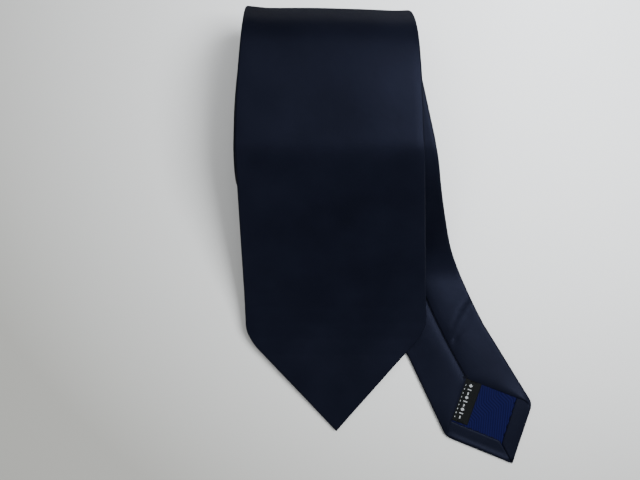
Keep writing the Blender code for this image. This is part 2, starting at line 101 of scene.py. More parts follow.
BLADE_POINT_X = 0.0073
BLADE_ROLL_X = 0.0037
CORE_X = -0.0036
TAIL_ROLL_X = 0.0267
TAIL_SIDESTEP_START = 0.205
TAIL_SIDESTEP_END = 0.40

BLADE_CORNER_ROUNDING = 0.0060
TAIL_CORNER_ROUNDING = 0.0022

# How the roll gives under its own weight.
DROOP = 0.066
CROWN = 0.0030
CROWN_PLACE = 0.80
CROWN_REACH = 0.024
BACK_SHEAR = 0.020
BACK_HORN = 0.0010
BACK_PULL_LEFT = 0.0028
BACK_PULL_RIGHT = 0.0003
LOOSE_LIFT = 0.00018

ROLL_LOW, ROLL_HIGH = (Vector(corner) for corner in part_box("blade_shell_rolled"))
ROLL_HEIGHT = ROLL_HIGH.z - ROLL_LOW.z
OUTER_RADIUS = ROLL_HEIGHT / 2 - HALF_THICKNESS
ROLL_MIDDLE_Z = ROLL_HEIGHT / 2
FRONT_CENTRE_Z = ROLL_MIDDLE_Z - PAIR_PITCH / 2
FRONT_RADIUS = OUTER_RADIUS - PAIR_PITCH / 2
FRONT_Y = ROLL_LOW.y + FRONT_RADIUS + HALF_THICKNESS
RUN = ROLL_HIGH.y - ROLL_HEIGHT / 2 - FRONT_Y
BLADE_LEAVING_RADIUS = OUTER_RADIUS + PAIR_PITCH / 2
TAIL_LEAVING_RADIUS = BLADE_LEAVING_RADIUS - LAYER_PITCH
BLADE_RIGHT_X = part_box("blade_shell_end")[1][0]
ZERO_X = BLADE_RIGHT_X - BLADE_POINT_X - BLADE_WIDTH / 2


def smooth(value, low, high):
    """Eases from 0 at low to 1 at high."""
    share = np.clip((value - low) / (high - low), 0, 1)
    return share * share * (3 - 2 * share)


# ------------------------------------------------------------------ the route of the ribbon


def bend(centre, radius, start, sweep, turn):
    """Points (y, z, normal y, normal z) on an arc; angles count from straight up."""
    at = start + turn * np.linspace(0, sweep, max(3, math.ceil(sweep / ARC_STEP) + 1))
    normal = np.column_stack((np.sin(at), np.cos(at)))
    return np.hstack((np.array(centre) + radius * normal, normal))


def straight(start, end, normal):
    """Points between two places, without the two places."""
    count = max(2, round(math.dist(start, end) / RUN_STEP))
    share = np.linspace(0, 1, count + 1)[1:-1, None]
    points = np.array(start) + share * (np.array(end) - np.array(start))
    return np.hstack((points, np.tile(normal, (len(points), 1))))


def wound_half(inset):
    """One half of the tie from the top of the roll's front inwards."""
    top = np.array([[0, ROLL_MIDDLE_Z + OUTER_RADIUS - inset, 0, 1]])
    stretches = [top]
    for turn in range(TURNS):
        radius = OUTER_RADIUS - inset - turn * PAIR_PITCH
        back = bend((RUN, ROLL_MIDDLE_Z), radius, 0, math.pi, 1)
        front = bend((0, FRONT_CENTRE_Z), radius - PAIR_PITCH / 2, math.pi, math.pi, 1)
        stretches += [straight(stretches[-1][-1, :2], back[0, :2], (0, 1)), back]
        stretches += [straight(back[-1, :2], front[0, :2], (0, -1)), front]
    end = stretches[-1][-1, :2]
    stretches.append(straight(end, (CORE_RUN, end[1]), (0, 1)))
    return np.vstack(stretches)


def descent(leaving_radius, slope, foot_radius, laid_slope, laid_length):
    """An end of the tie, from the top of the roll's front down to its point, and where its foot ends."""
    over = bend((0, FRONT_CENTRE_Z), leaving_radius, 0, slope, -1)
    drop = over[-1, 1] - HALF_THICKNESS
    drop -= foot_radius * (math.cos(laid_slope) - math.cos(slope)) + laid_length * math.sin(laid_slope)
    length = drop / math.sin(slope)
    landing = over[-1, :2] - length * np.array((math.cos(slope), math.sin(slope)))
    up = np.array((-math.sin(slope), math.cos(slope)))
    foot = bend(landing + foot_radius * up, -foot_radius, -slope, slope - laid_slope, 1)
    ramp = straight(over[-1, :2], landing, up)
    point = foot[-1, :2] - laid_length * np.array((math.cos(laid_slope), math.sin(laid_slope)))
    laid = straight(foot[-1, :2], point, foot[-1, 2:])
    foot_end = len(over) + len(ramp) + len(foot) - 1
    return np.vstack((over, ramp, foot, laid, [[*point, *foot[-1, 2:]]])), foot_end


def turned_over(points):
    """The same places with the front side facing the other way."""
    return points * np.array((1, 1, -1, -1))


class Route:
    """Turns the tie's own (s, v, h) into places in the frame."""

    def __init__(self):
        blade_shape = (BLADE_SLOPE, BLADE_FOOT_RADIUS, BLADE_LAID_SLOPE, BLADE_LAID_LENGTH)
        blade, _ = descent(BLADE_LEAVING_RADIUS, *blade_shape)
        laid_length = TAIL_BEND_LENGTH + TAIL_LAID_LENGTH
        tail, foot = descent(TAIL_LEAVING_RADIUS, TAIL_SLOPE, TAIL_FOOT_RADIUS, 0, laid_length)
        outer = wound_half(0)
        inner = turned_over(wound_half(LAYER_PITCH)[::-1])
        fold_z = ROLL_MIDDLE_Z + OUTER_RADIUS - TURNS * PAIR_PITCH - LAYER_PITCH / 2
        fold = bend((CORE_RUN, fold_z), LAYER_PITCH / 2, 0, math.pi, 1)
        self.view = np.vstack((blade[:0:-1], outer, fold, inner, turned_over(tail)[1:]))
        steps = np.hypot(*np.diff(self.view[:, :2], axis=0).T)
        self.along = np.concatenate(([0], np.cumsum(steps)))
        blade_front = len(blade) - 1
        neck = blade_front + len(outer) + len(fold) // 2
        tail_front = blade_front + len(outer) + len(fold) + len(inner) - 1
        self.blade_leaves = self.along[blade_front]
        self.tail_leaves = self.along[tail_front]
        self.first_turn = math.tau * OUTER_RADIUS + 2 * RUN
        foot_index = tail_front + foot
        self.foot_reach = -self.view[foot_index, 0]
        nodes = [(u, self.wound_x(u), 0) for u in self.along[:tail_front]]
        for index in range(tail_front, foot_index + 1):
            nodes.append((self.along[index], self.descending_x(-self.view[index, 0]), 0))
        nodes += self.laid_nodes(nodes[-1])
        u, x, turn = np.array(nodes).T
        slant = np.arctan(np.gradient(x, u)) - turn
        self.nodes = np.column_stack((u, x, turn, 1 / np.cos(slant)))
        centre = np.column_stack((x, *self.side_view(u)[:, :2].T))
        self.s = np.concatenate(([0], np.cumsum(np.linalg.norm(np.diff(centre, axis=0), axis=1))))
        self.length = float(self.s[-1])
        self.neck_fold = float(self.s[neck])
        self.blade_flex = float(self.s[blade_front])
        self.tail_front = float(self.s[tail_front])

    def wound_x(self, u):
        if u <= self.blade_leaves:
            share = min((self.blade_leaves - u) / (self.blade_leaves - BLADE_POINT), 1)
            return BLADE_ROLL_X + (BLADE_POINT_X - BLADE_ROLL_X) * share
        wound = smooth(u, self.blade_leaves, self.blade_leaves + self.first_turn)
        unwound = min((self.tail_leaves - u) / self.first_turn, 1)
        return BLADE_ROLL_X + (CORE_X - BLADE_ROLL_X) * wound + (TAIL_ROLL_X - CORE_X) * (1 - unwound) ** 1.5

    def descending_x(self, reach):
        growth = (TAIL_SIDESTEP_END - TAIL_SIDESTEP_START) / self.foot_reach
        return TAIL_ROLL_X + TAIL_SIDESTEP_START * reach + growth * reach * reach / 2

    def laid_nodes(self, foot):
        """The tail on the table: a bend to the right, then straight to its point."""
        foot_u, x, _ = foot
        heading = math.atan(TAIL_SIDESTEP_END)
        steps = 12
        length = TAIL_BEND_LENGTH / steps
        forward = 0
        nodes = []
        for i in range(steps):
            at = heading + (TAIL_HEADING - heading) * (i + 0.5) / steps
            x += length * math.sin(at)
            forward += length * math.cos(at)
            share = min(forward / (TAIL_BEND_LENGTH * math.cos(TAIL_HEADING)), 1)
            nodes.append((foot_u + forward, x, TAIL_HEADING * share))
        steps = round(TAIL_LAID_LENGTH / RUN_STEP)
        for i in range(1, steps + 1):
            reach = TAIL_LAID_LENGTH * i / steps
            across = x + reach * math.sin(TAIL_HEADING)
            nodes.append((foot_u + forward + reach * math.cos(TAIL_HEADING), across, TAIL_HEADING))
        return nodes

    def side_view(self, u):
        return np.stack([np.interp(u, self.along, column) for column in self.view.T], axis=-1)

    def places(self, s, v, h):
        """Points in the frame, before the cloth settles."""
        s, v, h = np.broadcast_arrays(np.asarray(s, float), v, h)
        u, x, turn, stretch = (np.interp(s, self.s, column) for column in self.nodes.T)
        v = v * stretch
        y, z, normal_y, normal_z = np.moveaxis(self.side_view(u - v * np.sin(turn)), -1, 0)
        x = x + v * np.cos(turn) + ZERO_X
        return np.stack((x, y + h * normal_y + FRONT_Y, z + h * normal_z), axis=-1)


ROUTE = Route()
LENGTH = ROUTE.length


class End:
    """The outline of a pointed end: its folded edges, its hems and its opening at the back."""

    def __init__(self, point_s, inwards, half_width, corner, skew, opening):
        self.point_s = point_s
        self.inwards = inwards
        self.half_width = half_width
        self.corners = {-1: corner + skew, 1: corner - skew}
        self.vertex = corner + opening

    def at(self, distance):
        return self.point_s + self.inwards * distance

    def from_point(self, s):
        return np.abs(s - self.point_s)

    def edge(self, s, side):
        return self.from_point(s) / self.corners[side] * self.half_width

    def hem_across(self, side):
        return HEM_WIDTH / math.cos(math.atan(self.half_width / self.corners[side]))

    def hem_line(self, s, side):
        return self.edge(s, side) - self.hem_across(side)

    def flap_line(self, s, side):
        corner = self.corners[side]
        return self.half_width * (self.vertex - self.from_point(s)) / (self.vertex - corner)

    def hems_meet(self, side):
        """Distance from the point where the hem's inner edge reaches the centreline."""
        return self.hem_across(side) / self.half_width * self.corners[side]

    def flap_meets_hem(self, side):
        corner = self.corners[side]
        slopes = self.half_width / corner + self.half_width / (self.vertex - corner)
        return corner + self.hem_across(side) / slopes


BLADE = End(0, 1, BLADE_WIDTH / 2, BLADE_POINT, BLADE_POINT_SKEW, BLADE_OPENING)
TAIL = End(LENGTH, -1, TAIL_WIDTH / 2, TAIL_POINT, TAIL_POINT_SKEW, TAIL_OPENING)


def edge(s, side):
    """From the centreline to the folded edge."""
    places = (BLADE_POINT, BLADE_TO_NECK, LENGTH / 2 + 0.05, LENGTH - TAIL_FLARE, LENGTH - TAIL_POINT)
    widths = (BLADE_WIDTH, NECK_WIDTH, NECK_WIDTH, TAIL_NARROW_WIDTH, TAIL_WIDTH)
    full = np.interp(s, places, widths) / 2
    narrowed = rounded_minimum(full, BLADE.edge(s, side), BLADE_CORNER_ROUNDING)
    return rounded_minimum(narrowed, TAIL.edge(s, side), TAIL_CORNER_ROUNDING)


def rounded_minimum(a, b, width):
    """The smaller of two values, with the corner between them rounded off."""
    near = np.clip(1 - np.abs(a - b) / width, 0, None)
    return np.minimum(a, b) - near * near * width / 4


def flap_edge(s, side):
    """From the centreline to the free edge of the back flap; it passes the fold beyond the corners."""
    blade = np.where(s < LENGTH / 2, BLADE.flap_line(s, side), 0)
    tail = np.where(s > LENGTH / 2, TAIL.flap_line(s, side), 0)
    return np.maximum(blade, tail)


def looseness(s):
    """1 where a layer is free to swell and ripple, 0 where it is wound between others."""
    blade = 1 - smooth(s, ROUTE.blade_flex + 0.06, ROUTE.blade_flex + 0.11)
    tail = smooth(s, ROUTE.tail_front + 0.030, ROUTE.tail_front + 0.060)
    return blade + tail


def ripple(s, v):
    """Slow waves of the whole layer, from lying on the roll and the table."""
    waves = 0.45 * np.sin(41 * s + 30 * v + 0.4) + 0.30 * np.sin(97 * s - 55 * v + 1.9)
    waves += 0.35 * np.sin(23 * s + 118 * v + 2.6) + 0.25 * np.sin(150 * s + 90 * v + 4.1)
    waves += 0.20 * np.sin(60 * s - 190 * v + 0.9)
    return waves


def settle(points):
    """Lets the whole tie give a little under its own weight; layers keep their order."""
    x, y, z = points[..., 0].copy(), points[..., 1].copy(), points[..., 2].copy()
    middle_x = ZERO_X + BLADE_ROLL_X
    across = (x - middle_x) / (BLADE_WIDTH / 2)
    middle_y = FRONT_Y + RUN / 2
    back_y = FRONT_Y + RUN + OUTER_RADIUS
    on_roll = smooth(y, FRONT_Y - 0.010, FRONT_Y + 0.020)
    droop = DROOP * np.clip(np.abs(across) - 0.45, 0, 1) ** 2 * on_roll
    height = np.clip(z / ROLL_HEIGHT, 0, 1)
    z += (ROLL_MIDDLE_Z - z) * droop
    z += CROWN * height * np.exp(-(((y - FRONT_Y - CROWN_PLACE * RUN) / CROWN_REACH) ** 2))
    far = smooth(y, middle_y - 0.010, back_y)
    y += far * (BACK_HORN * smooth(np.abs(across), 0.62, 1.0) - BACK_SHEAR * (x - middle_x))
    x += BACK_PULL_LEFT * smooth(-across, 0.10, 1) * far - BACK_PULL_RIGHT * smooth(across, 0.10, 1) * far
    return np.stack((x, y, z), axis=-1)


def place(s, v, h):
    """Points in the frame of the settled tie."""
    s, v, h = np.broadcast_arrays(np.asarray(s, float), v, h)
    away_from_table = np.where(s < LENGTH / 2, 1, -1)
    lift = LOOSE_LIFT * (1.4 + ripple(s, v)) * looseness(s)
    return settle(ROUTE.places(s, v, h + away_from_table * lift))


# ------------------------------------------------------------------ making meshes

THREAD_SIDES = 6
ROW_STEP = 0.0012  # between the rows of a sheet in its fine stretches
LEAST_ROW_STEP = 0.0005
TIP_ROWS = ((0, 0.100), (LENGTH - 0.062, LENGTH))


def grid_faces(rows, columns, closed=False):
    across = columns if closed else columns - 1
    faces = []
    for i in range(rows - 1):
        for j in range(across):
            after = (j + 1) % columns
            near, far = i * columns, (i + 1) * columns
            faces.append((near + j, near + after, far + after, far + j))
    return faces


def mesh_object(name, points, faces, material, weave=None):
    mesh = bpy.data.meshes.new(name)
    mesh.from_pydata(points.reshape(-1, 3).tolist(), [], faces)
    if weave is not None:
        layer = mesh.uv_layers.new(name="weave")
        corners = np.empty(len(mesh.loops), dtype=int)
        mesh.loops.foreach_get("vertex_index", corners)
        layer.data.foreach_set("uv", weave.reshape(-1, 2)[corners].ravel())
    mesh.materials.append(material)
    mesh.shade_smooth()
    obj = bpy.data.objects.new(name, mesh)
    bpy.context.scene.collection.objects.link(obj)
    return obj


def activate(obj):
    bpy.ops.object.select_all(action="DESELECT")
    obj.select_set(True)
    bpy.context.view_layer.objects.active = obj


def thicken(obj, thickness):
    """Gives a sheet its thickness, inwards from the face it was made with."""
    activate(obj)
    modifier = obj.modifiers.new("Solidify", "SOLIDIFY")
    modifier.thickness = thickness
    modifier.offset = -1
    bpy.ops.object.modifier_apply(modifier=modifier.name)


def cloth_piece(name, s, v, h, thickness, material):
    """A sheet through rows of (s, v, h) places, thickened inwards. Returns it, its flat size and its area."""
    s = np.broadcast_to(s[:, None], v.shape)
    steps = np.hypot(np.diff(v), np.diff(h))
    across = np.concatenate((np.zeros((len(s), 1)), np.cumsum(steps, axis=1)), axis=1)
    widths = across[:, -1]
    weave = np.stack((across - widths[:, None] / 2, s), axis=-1)
    obj = mesh_object(name, place(s, v, h), grid_faces(*v.shape), material, weave)
    thicken(obj, thickness)
    rows = s[:, 0]
    area = float(np.sum((widths[1:] + widths[:-1]) / 2 * np.abs(np.diff(rows))))
    return obj, (float(widths.max()), float(np.ptp(rows))), area


def tube(path, radius):
    """A thread along (s, v, h) places: its points in the frame and its faces."""
    path = np.asarray(path, float)
    along = np.gradient(path, axis=0)
    along /= np.linalg.norm(along, axis=1, keepdims=True)
    side = np.cross(along, (0, 0, 1))
    side /= np.linalg.norm(side, axis=1, keepdims=True)
    up = np.cross(side, along)
    angles = np.arange(THREAD_SIDES) * math.tau / THREAD_SIDES
    ring = np.cos(angles)[None, :, None] * side[:, None] + np.sin(angles)[None, :, None] * up[:, None]
    around = path[:, None] + radius * ring
    faces = grid_faces(len(path), THREAD_SIDES, closed=True)
    faces.append(tuple(range(THREAD_SIDES))[::-1])
    faces.append(tuple(range((len(path) - 1) * THREAD_SIDES, len(path) * THREAD_SIDES)))
    return place(*np.moveaxis(around, -1, 0)).reshape(-1, 3), faces


def outwards(obj):
    """Turns all faces outwards."""
    activate(obj)
    bpy.ops.object.mode_set(mode="EDIT")
    bpy.ops.mesh.select_all(action="SELECT")
    bpy.ops.mesh.normals_make_consistent(inside=False)
    bpy.ops.object.mode_set(mode="OBJECT")


def thread_piece(name, paths, radius, material):
    """One piece made of one or more threads."""
    points, faces, count = [], [], 0
    for path in paths:
        ring_points, ring_faces = tube(path, radius)
        points.append(ring_points)
        faces += [tuple(index + count for index in face) for face in ring_faces]
        count += len(ring_points)
    obj = mesh_object(name, np.vstack(points), faces, material)
    outwards(obj)
    return obj


def stations(start, end, step=ROW_STEP):
    """The s values for the rows of a sheet, closer together near the two points of the tie."""
    found = [ROUTE.s[(ROUTE.s > start) & (ROUTE.s < end)], (start, end)]
    for low, high in TIP_ROWS:
        low, high = max(low, start), min(high, end)
        if high > low:
            found.append(np.linspace(low, high, max(2, round((high - low) / step))))
    rows = np.unique(np.round(np.concatenate(found), 6))
    kept = [rows[0]]
    for s in rows[1:-1]:
        if s - kept[-1] > LEAST_ROW_STEP and rows[-1] - s > 0.0003:
            kept.append(s)
    return np.array(kept + [rows[-1]])


def distance_from_point(s):
    return np.minimum(s, LENGTH - s)


def tip_thickness(s):
    """The layers close together over the last stretch before a point."""
    return np.sqrt(1 - (1 - np.clip(distance_from_point(s) / TIP_ROUNDING, 0.04, 1)) ** 2)


# ------------------------------------------------------------------ the shell cloth

SHELL_THICKNESS = 0.00025
HEM_THICKNESS = 0.0002
LINING_THICKNESS = 0.0001
INTERLINING_THICKNESS = 0.00044
INTERLINING_INSET = 0.0016
INTERLINING_ROW_STEP = 0.002
LEAST_HALF_WIDTH = 0.0003
FOLD_RADIUS = 0.0009
CURL_RADIUS = 0.0003
SEAM_HALF_GAP = 0.00022
HEM_DROP = 0.0004
HEM_LEVEL = 0.00028  # the hem over the back face, and the lining over it
LINING_LEVEL = 0.00052
NARROW_WIDTH = 0.0026  # below this half-width the folds get smaller
TIP_ROUNDING = 0.0015
FLAP_SWELL = 0.00050
FLAP_COLUMNS = 14
FRONT_COLUMNS = 13
FOLD_COLUMNS = 9
HEM_COLUMNS = 14
LINING_COLUMNS = 25
INTERLINING_COLUMNS = 15
FRONT_CROWN = 0.00030

CREASE_FROM_POINT = 0.0585
CREASE_SLANT = 1.05
CREASE_DEPTH = 0.00080
CREASE_HALF_WIDTH = 0.0019


def corner_distance(s, side):
    return np.where(s < LENGTH / 2, BLADE.corners[side], TAIL.corners[side])


def half_section(s, side):
    """From the free edge of one back flap round the side fold to the front's centre: rows of (v, h)."""
    outer = edge(s, side)[:, None]
    narrow = np.clip(outer / NARROW_WIDTH, 0, 1)
    turned_in = outer - 0.0022 * narrow
    flap = np.clip(flap_edge(s, side)[:, None], SEAM_HALF_GAP, None)
    inner = np.minimum(flap, turned_in)
    past_corner = (distance_from_point(s) - corner_distance(s, side))[:, None]
    is_flap = smooth(past_corner, 0, 0.003)
    angles = np.linspace(math.pi / 2, -math.pi / 2, 5)[None]
    curl_v = inner + CURL_RADIUS * narrow * (1 - np.cos(angles)) * is_flap
    curl_h = CURL_RADIUS * np.sin(angles) * is_flap + CURL_RADIUS - HALF_THICKNESS + HEM_DROP * (1 - is_flap)
    share = np.linspace(0, 1, FLAP_COLUMNS + 1)[None, 1:-1]
    flap_start = curl_v[:, -1:]
    fold_v = outer - FOLD_RADIUS * narrow
    flap_v = flap_start + (fold_v - flap_start) * share
    swell = FLAP_SWELL * np.sin(math.pi * share ** 0.6) * looseness(s)[:, None] * is_flap
    flap_h = curl_h[:, -1:] + (-HALF_THICKNESS - curl_h[:, -1:]) * smooth(share, 0, 1) - swell
    angles = np.linspace(-math.pi / 2, math.pi / 2, FOLD_COLUMNS)[None]
    side_v = fold_v + FOLD_RADIUS * narrow * np.cos(angles)
    side_h = np.broadcast_to(HALF_THICKNESS * np.sin(angles), side_v.shape)
    share = np.linspace(0, 1, FRONT_COLUMNS)[None, 1:]
    front_v = fold_v * (1 - share)
    crown = FRONT_CROWN * np.sin(math.pi * share / 2) ** 0.8 * looseness(s)[:, None]
    front_h = HALF_THICKNESS + crown
    front_h = np.broadcast_to(front_h, front_v.shape)
    v = np.hstack((curl_v, flap_v, side_v, front_v))
    h = np.hstack((curl_h, flap_h, side_h, front_h)) * tip_thickness(s)[:, None]
    return side * v, h


def shell_section(s):
    left_v, left_h = half_section(s, -1)
    right_v, right_h = half_section(s, 1)
    return np.hstack((left_v, right_v[:, -2::-1])), np.hstack((left_h, right_h[:, -2::-1]))


def shell_piece(name, start, end, material):
    s = stations(start, end)
    v, h = shell_section(s)
    if start > LENGTH / 2:
        h = h + crease(s[:, None], v, h)
    return cloth_piece(name, s, v, h, SHELL_THICKNESS, material)


def crease(s, v, h):
    """A soft dent across the tail's right flap with a low ridge beside it, where the cloth has been bent."""
    along = distance_from_point(s) - CREASE_FROM_POINT - CREASE_SLANT * v
    depth = CREASE_DEPTH * np.exp(-((along / CREASE_HALF_WIDTH) ** 2))
    beside = (along - 2.4 * CREASE_HALF_WIDTH) / (1.6 * CREASE_HALF_WIDTH)
    depth -= 0.55 * CREASE_DEPTH * np.exp(-(beside ** 2))
    back = smooth(-h, 0.0002, 0.0007)
    return depth * smooth(v, 0.0005, 0.004) * back


def hem_piece(name, end, side, material):
    """The cloth turned in along one edge of a pointed end; it runs on under the flap."""
    stop = end.flap_meets_hem(side) + 0.004
    distances = np.linspace(0.0022, stop, max(12, round(stop / ROW_STEP)))[::end.inwards]
    s = end.at(distances)
    outer = edge(s, side)
    outer = outer - FOLD_RADIUS * np.clip(outer / NARROW_WIDTH, 0, 1)
    inner = np.clip(end.hem_line(s, side), 0.00005, None)
    inner = np.minimum(inner, outer - 0.0001)
    share = np.linspace(0, 1, HEM_COLUMNS)[None]
    v = outer[:, None] + (inner - outer)[:, None] * share
    under_flap = smooth(distances, end.corners[side] - 0.0005, end.corners[side] + 0.0012)[:, None]
    rim = -HALF_THICKNESS - 0.00001
    resting = -HALF_THICKNESS + HEM_LEVEL
    rise = 1 - smooth((outer[:, None] - v), 0.0001, 0.0034)
    level = resting + (rim - resting) * rise * (1 - under_flap)
    h = level * tip_thickness(s)[:, None]
    h[:, -1] += 0.00015
    if side > 0:
        return cloth_piece(name, s, v, h, HEM_THICKNESS, material)
    return cloth_piece(name, s, -v[:, ::-1], h[:, ::-1], HEM_THICKNESS, material)


def lining_piece(name, end, material):
    """The lining inside the opening of a pointed end; its edges lie under the flaps and hems."""
    first = min(end.hems_meet(side) for side in (-1, 1)) - 0.002
    distances = np.linspace(first, end.vertex + 0.002, round(end.vertex / 0.0010))
    s = end.at(distances[::end.inwards])
    halves = []
    for side in (-1, 1):
        reach = np.minimum(end.hem_line(s, side) + 0.0025, end.flap_line(s, side) + 0.0028)
        limit = np.minimum(end.edge(s, side), edge(s, side)) - 0.0013
        halves.append(np.clip(np.minimum(reach, limit), LEAST_HALF_WIDTH, None)[:, None])
    share = np.linspace(0, 1, LINING_COLUMNS)[None]
    v = halves[1] - (halves[0] + halves[1]) * share
    puff = 0.00003 * np.sin(340 * s[:, None] + 260 * v) + 0.00002 * np.sin(900 * v + 120 * s[:, None])
    h = -HALF_THICKNESS + LINING_LEVEL + puff
    return cloth_piece(name, s, v, np.broadcast_to(h, v.shape), LINING_THICKNESS, material)


def interlining_piece(name, start, end, material):
    """The wool inside the shell, a little narrower than it."""
    s = stations(start, end, INTERLINING_ROW_STEP)
    left = np.clip(edge(s, -1) - INTERLINING_INSET, LEAST_HALF_WIDTH, None)[:, None]
    right = np.clip(edge(s, 1) - INTERLINING_INSET, LEAST_HALF_WIDTH, None)[:, None]
    v = -left + (left + right) * np.linspace(0, 1, INTERLINING_COLUMNS)[None]
    h = np.full(v.shape, INTERLINING_THICKNESS / 2) * tip_thickness(s)[:, None]
    return cloth_piece(name, s, v, h, INTERLINING_THICKNESS, material)


# ------------------------------------------------------------------ threads, keeper and label

STITCH_LENGTH = 0.0055
TACK_HALF_LENGTH = 0.0026
TACK_STITCH_SPACING = 0.00026
HEM_STITCH_SPACING = 0.0026
KEEPER_HALF_LENGTH = 0.024
KEEPER_HALF_WIDTH = 0.006
KEEPER_THICKNESS = 0.00045
KEEPER_RISE = 0.0012
KEEPER_LEVEL = 0.0007  # the band's outer face under the blade's back
KEEPER_FROM_SEAM_END = 0.016
LABEL_LENGTH = 0.0198
LABEL_WIDTH = 0.0092
LABEL_THICKNESS = 0.00014
LABEL_TUCKED = 0.0018
LABEL_FROM_VERTEX = -0.0002
LABEL_LEVEL = 0.00031
MARKS_IN_ROW = 9
MARK_SPACING = 0.00185
MARK_OUTLINES = (
    ((-0.0008, 0.0), (0.0, -0.0009), (0.0008, 0.0), (0.0, 0.0009)),
    ((-0.00022, -0.0009), (0.00022, -0.0009), (0.00022, 0.0009), (-0.00022, 0.0009)),
    ((-0.0006, -0.0003), (0.0006, -0.0003), (0.0006, 0.0003), (-0.0006, 0.0003)),
)


def seam_path(start, end):
    """The slip stitch's thread in the groove between the two flaps."""
    s = np.arange(start, end, 0.0009)
    v = 0.00006 * np.sin(math.tau * s / STITCH_LENGTH)
    h = -HALF_THICKNESS + 0.00024 + 0.00010 * np.cos(math.tau * s / STITCH_LENGTH)
    return np.column_stack((s, v, h))


def bar_tack_paths(middle):
    """Satin stitches side by side across the end of the centre seam."""
    paths = []
    for i in range(5):
        s = middle + (i - 2) * TACK_STITCH_SPACING
        v = np.linspace(-TACK_HALF_LENGTH, TACK_HALF_LENGTH, 11)
        h = -HALF_THICKNESS - 0.00020 * np.sqrt(np.clip(1 - (v / 0.00262) ** 2, 0, 1)) + 0.0001
        wander = 0.00005 * math.sin(2.3 * i) * (v / TACK_HALF_LENGTH)
        paths.append(np.column_stack((s + wander, v, h)))
    return paths


def hem_seam_paths(end):
    """Small stitches along both hems, joining the lining to them."""
    paths = []
    for side in (-1, 1):
        first = end.hems_meet(side) + 0.002
        stop = end.flap_meets_hem(side)
        count = round((stop - first) / HEM_STITCH_SPACING)
        for i in range(count):
            middle = first + (stop - first) * (i + 0.5) / count
            s = end.at(middle + np.linspace(-0.0006, 0.0006, 5))
            v = side * (end.hem_line(s, side) - 0.0001 + 0.0002 * np.linspace(-1, 1, 5))
            h = -HALF_THICKNESS + HEM_LEVEL - 0.00008 * np.cos(np.linspace(-1.4, 1.4, 5))
            paths.append(np.column_stack((s, v, h)))
    return paths


def keeper_piece(name, middle, material):
    """The band across the blade's back that the tail slips through."""
    v = np.linspace(KEEPER_HALF_LENGTH, -KEEPER_HALF_LENGTH, 41)
    rise = KEEPER_RISE * smooth(0.018 - np.abs(v), 0, 0.006)
    s = middle + np.linspace(-KEEPER_HALF_WIDTH, KEEPER_HALF_WIDTH, 9)
    h = -HALF_THICKNESS - KEEPER_LEVEL - rise
    v = np.broadcast_to(v, (len(s), len(v)))
    return cloth_piece(name, s, v, np.broadcast_to(h, v.shape), KEEPER_THICKNESS, material)


def keeper_tack_paths(middle, side):
    """Stitches side by side over one end of the band."""
    paths = []
    for i in range(4):
        v = side * (0.0205 + 0.0004 * i)
        s = middle + np.linspace(-0.0045, 0.0045, 13)
        waves = np.abs(np.sin(np.linspace(0, 3 * math.pi, 13)))
        h = -HALF_THICKNESS - KEEPER_LEVEL - 0.00012 * waves
        paths.append(np.column_stack((s, np.full(13, v), h)))
    return paths


def on_label(along, across, h):
    """Places on the tail label; along runs from the opening's vertex down the left flap's edge."""
    turn = math.atan2(TAIL.half_width, TAIL.vertex - TAIL.corners[-1])
    along = along + LABEL_FROM_VERTEX
    across = across - LABEL_TUCKED
    distance = TAIL.vertex - (along * math.cos(turn) + across * math.sin(turn))
    v = -(along * math.sin(turn) - across * math.cos(turn))
    return TAIL.at(distance), v, h


def label_level(along, across):
    """The height of the label's outer face: tucked under the left flap, then free."""
    level = LABEL_LEVEL - 0.00013 * smooth(across, LABEL_TUCKED, LABEL_TUCKED + 0.0020)
    free = smooth(along, -0.002, 0.0022)
    level = level * free + LABEL_LEVEL * (1 - free)
    waves = 0.00006 * np.sin(across / LABEL_WIDTH * math.pi)
    level = level - waves * np.sin(along / LABEL_LENGTH * 2.4 * math.pi)
    return level - HALF_THICKNESS + 0.00012 * np.exp(-(LABEL_WIDTH - across) / 0.0004)


def label_sheet(name, material):
    along = np.linspace(0, LABEL_LENGTH, 45)[:, None]
    across = np.linspace(LABEL_WIDTH, 0, 21)[None]
    along, across = np.broadcast_arrays(along, across)
    s, v, h = on_label(along, across, label_level(along, across))
    weave = np.stack((across, along), axis=-1)
    obj = mesh_object(name, place(s, v, h), grid_faces(*along.shape), material, weave)
    thicken(obj, LABEL_THICKNESS)
    return obj


def label_marks(name, material):
    """Plain woven marks along the label: lozenges, bars and dashes, and a row of dots at the tucked edge."""
    shapes = []
    for i in range(MARKS_IN_ROW):
        shapes.append((0.0026 + MARK_SPACING * i, LABEL_TUCKED + 0.0029, MARK_OUTLINES[i % 3], 1.0))
    for i in range(MARKS_IN_ROW):
        shapes.append((0.0030 + MARK_SPACING * i, LABEL_TUCKED + 0.0007, MARK_OUTLINES[2], 0.5))
    points, faces, count = [], [], 0
    for middle, row, outline, size in shapes:
        for raised in (0.00002, -0.00006):
            for along, across in outline:
                at_along = middle + along * size
                at_across = row + across * size
                level = label_level(np.array(at_along), np.array(at_across)) + raised
                points.append(place(*on_label(at_along, at_across, level)))
        faces.append(tuple(count + k for k in range(4)))
        faces.append(tuple(count + 4 + k for k in range(4)))
        for k in range(4):
            after = (k + 1) % 4
            faces.append((count + k, count + after, count + 4 + after, count + 4 + k))
        count += 8
    obj = mesh_object(name, np.array(points), faces, material)
    obj.data.shade_flat()
    outwards(obj)
    return obj


